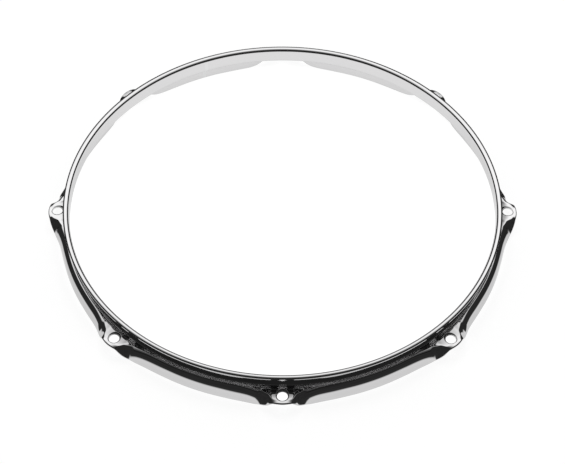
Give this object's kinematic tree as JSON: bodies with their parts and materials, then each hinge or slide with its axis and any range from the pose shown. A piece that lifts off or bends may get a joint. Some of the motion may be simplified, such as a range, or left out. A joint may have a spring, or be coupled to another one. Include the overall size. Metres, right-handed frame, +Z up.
{
  "type": "drum hoop",
  "caption": "Chrome-plated pressed steel drum hoop with a turned-out rim, a stepped wall and drawn ears with rod holes, for pulling a drumhead down over its shell.",
  "frame": {"origin": "centre of the ring, on the plane that the lower edge stands on", "axes": "+Z up along the ring's axis, from the lower edge to the rim; the middle of ear_1 lies on -Y, and the other ears follow every 45 degrees anticlockwise seen from above"},
  "size_m": [0.3996, 0.3996, 0.0288],
  "materials": {
    "chrome_plate": "bright nickel-chrome plate over pressed steel sheet",
    "chrome_weld": "bright nickel-chrome plate over a butt weld dressed flush"
  },
  "bodies": {
    "root": {"rim_flange": "chrome_plate", "hoop_wall": "chrome_plate", "step_flange": "chrome_plate", "ear_1": "chrome_plate", "ear_2": "chrome_plate", "ear_3": "chrome_plate", "ear_4": "chrome_plate", "ear_5": "chrome_plate", "ear_6": "chrome_plate", "ear_7": "chrome_plate", "ear_8": "chrome_plate", "skirt_1": "chrome_plate", "skirt_2": "chrome_plate", "skirt_3": "chrome_plate", "skirt_4": "chrome_plate", "skirt_5": "chrome_plate", "skirt_5b": "chrome_plate", "skirt_6": "chrome_plate", "skirt_7": "chrome_plate", "skirt_8": "chrome_plate", "seam_weld": "chrome_weld"}
  },
  "joints": []
}
